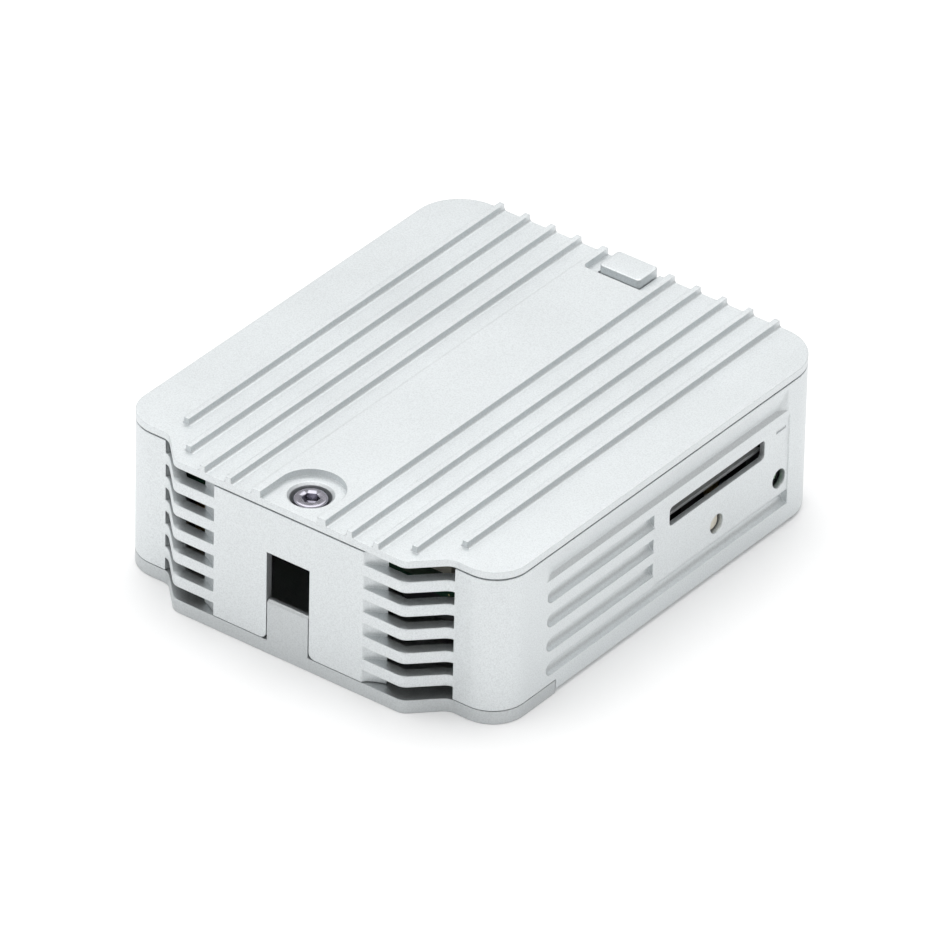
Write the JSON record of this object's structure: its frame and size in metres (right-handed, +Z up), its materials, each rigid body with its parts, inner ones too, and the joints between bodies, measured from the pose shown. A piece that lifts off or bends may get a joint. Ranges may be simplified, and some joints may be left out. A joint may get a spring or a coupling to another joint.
{
  "type": "single board computer",
  "caption": "Fanless single board computer in a ribbed aluminium case: lift-off heat sink cover, louvred front with a window, side card slot, rear ports.",
  "frame": {"origin": "middle of the footprint, on the surface that the base plate rests on", "axes": "+Z up, -Y the front with the window and louvres, +Y the rear with the ports, +X the side with the card slot"},
  "size_m": [0.074, 0.0886, 0.0293],
  "materials": {
    "case_aluminium": "bead blasted, anodised silver",
    "base_aluminium": "bead blasted, anodised, slightly darker",
    "screw_steel": "black nickel",
    "small_steel": "zinc plated",
    "brass_post": "machined",
    "circuit_board": "solder mask",
    "chip_black": "moulded epoxy",
    "thermal_pad": "silicone",
    "coil_grey": "pressed powder",
    "capacitor_can": "drawn can",
    "ceramic_tan": "ceramic",
    "crystal_can": "plated can",
    "port_shell": "nickel plated",
    "contact_gold": "gold plated",
    "tongue_blue": "moulded",
    "plastic_black": "moulded",
    "plastic_grey": "moulded",
    "plastic_ivory": "moulded",
    "light_green": "clear epoxy",
    "infrared_black": "tinted epoxy",
    "battery_steel": "stainless"
  },
  "bodies": {
    "case": {"housing": "case_aluminium", "base_plate": "base_aluminium", "rear_key": "case_aluminium", "key_screws": "small_steel", "base_screws": "small_steel", "board_standoffs": "brass_post", "standoff_screws": "small_steel", "board_screws": "small_steel", "main_board": "circuit_board", "processor": "chip_black", "thermal_pad": "thermal_pad", "memory_chips": "chip_black", "flash_chip": "chip_black", "power_chip": "chip_black", "power_coils": "coil_grey", "bulk_capacitors": "capacitor_can", "chip_passives": "ceramic_tan", "crystals": "crystal_can", "network_chip": "chip_black", "pulse_transformer": "chip_black", "network_jack": "port_shell", "jack_contacts": "contact_gold", "usb_shells": "port_shell", "usb_tongues": "tongue_blue", "video_port": "port_shell", "video_tongue": "plastic_black", "power_port": "port_shell", "power_tongue": "plastic_black", "card_socket": "plastic_grey", "card_socket_shell": "port_shell", "card_contacts": "contact_gold", "reset_switch": "plastic_black", "status_light": "light_green", "light_holder": "plastic_black", "infrared_receiver": "infrared_black", "clock_battery": "battery_steel", "battery_holder": "plastic_black", "serial_header": "plastic_ivory"},
    "cover": {"top_cover": "case_aluminium"},
    "cover_screw": {"cover_screw": "screw_steel"},
    "card_slider": {"card_slider": "plastic_ivory"},
    "reset_plunger": {"reset_plunger": "plastic_ivory"}
  },
  "joints": [
    {"name": "cover_lift", "type": "slide", "parent": "case", "child": "cover", "axis": [0, 0, 1], "range_m": [0, 0.04]},
    {"name": "cover_screw_draw", "type": "slide", "parent": "cover", "child": "cover_screw", "axis": [0, 0, 1], "range_m": [0, 0.012]},
    {"name": "card_slider_push", "type": "slide", "parent": "case", "child": "card_slider", "axis": [-1, 0, 0], "range_m": [0, 0.002], "stiffness_N_per_m": 150},
    {"name": "reset_press", "type": "slide", "parent": "case", "child": "reset_plunger", "axis": [-1, 0, 0], "range_m": [0, 0.00025], "stiffness_N_per_m": 1200}
  ]
}
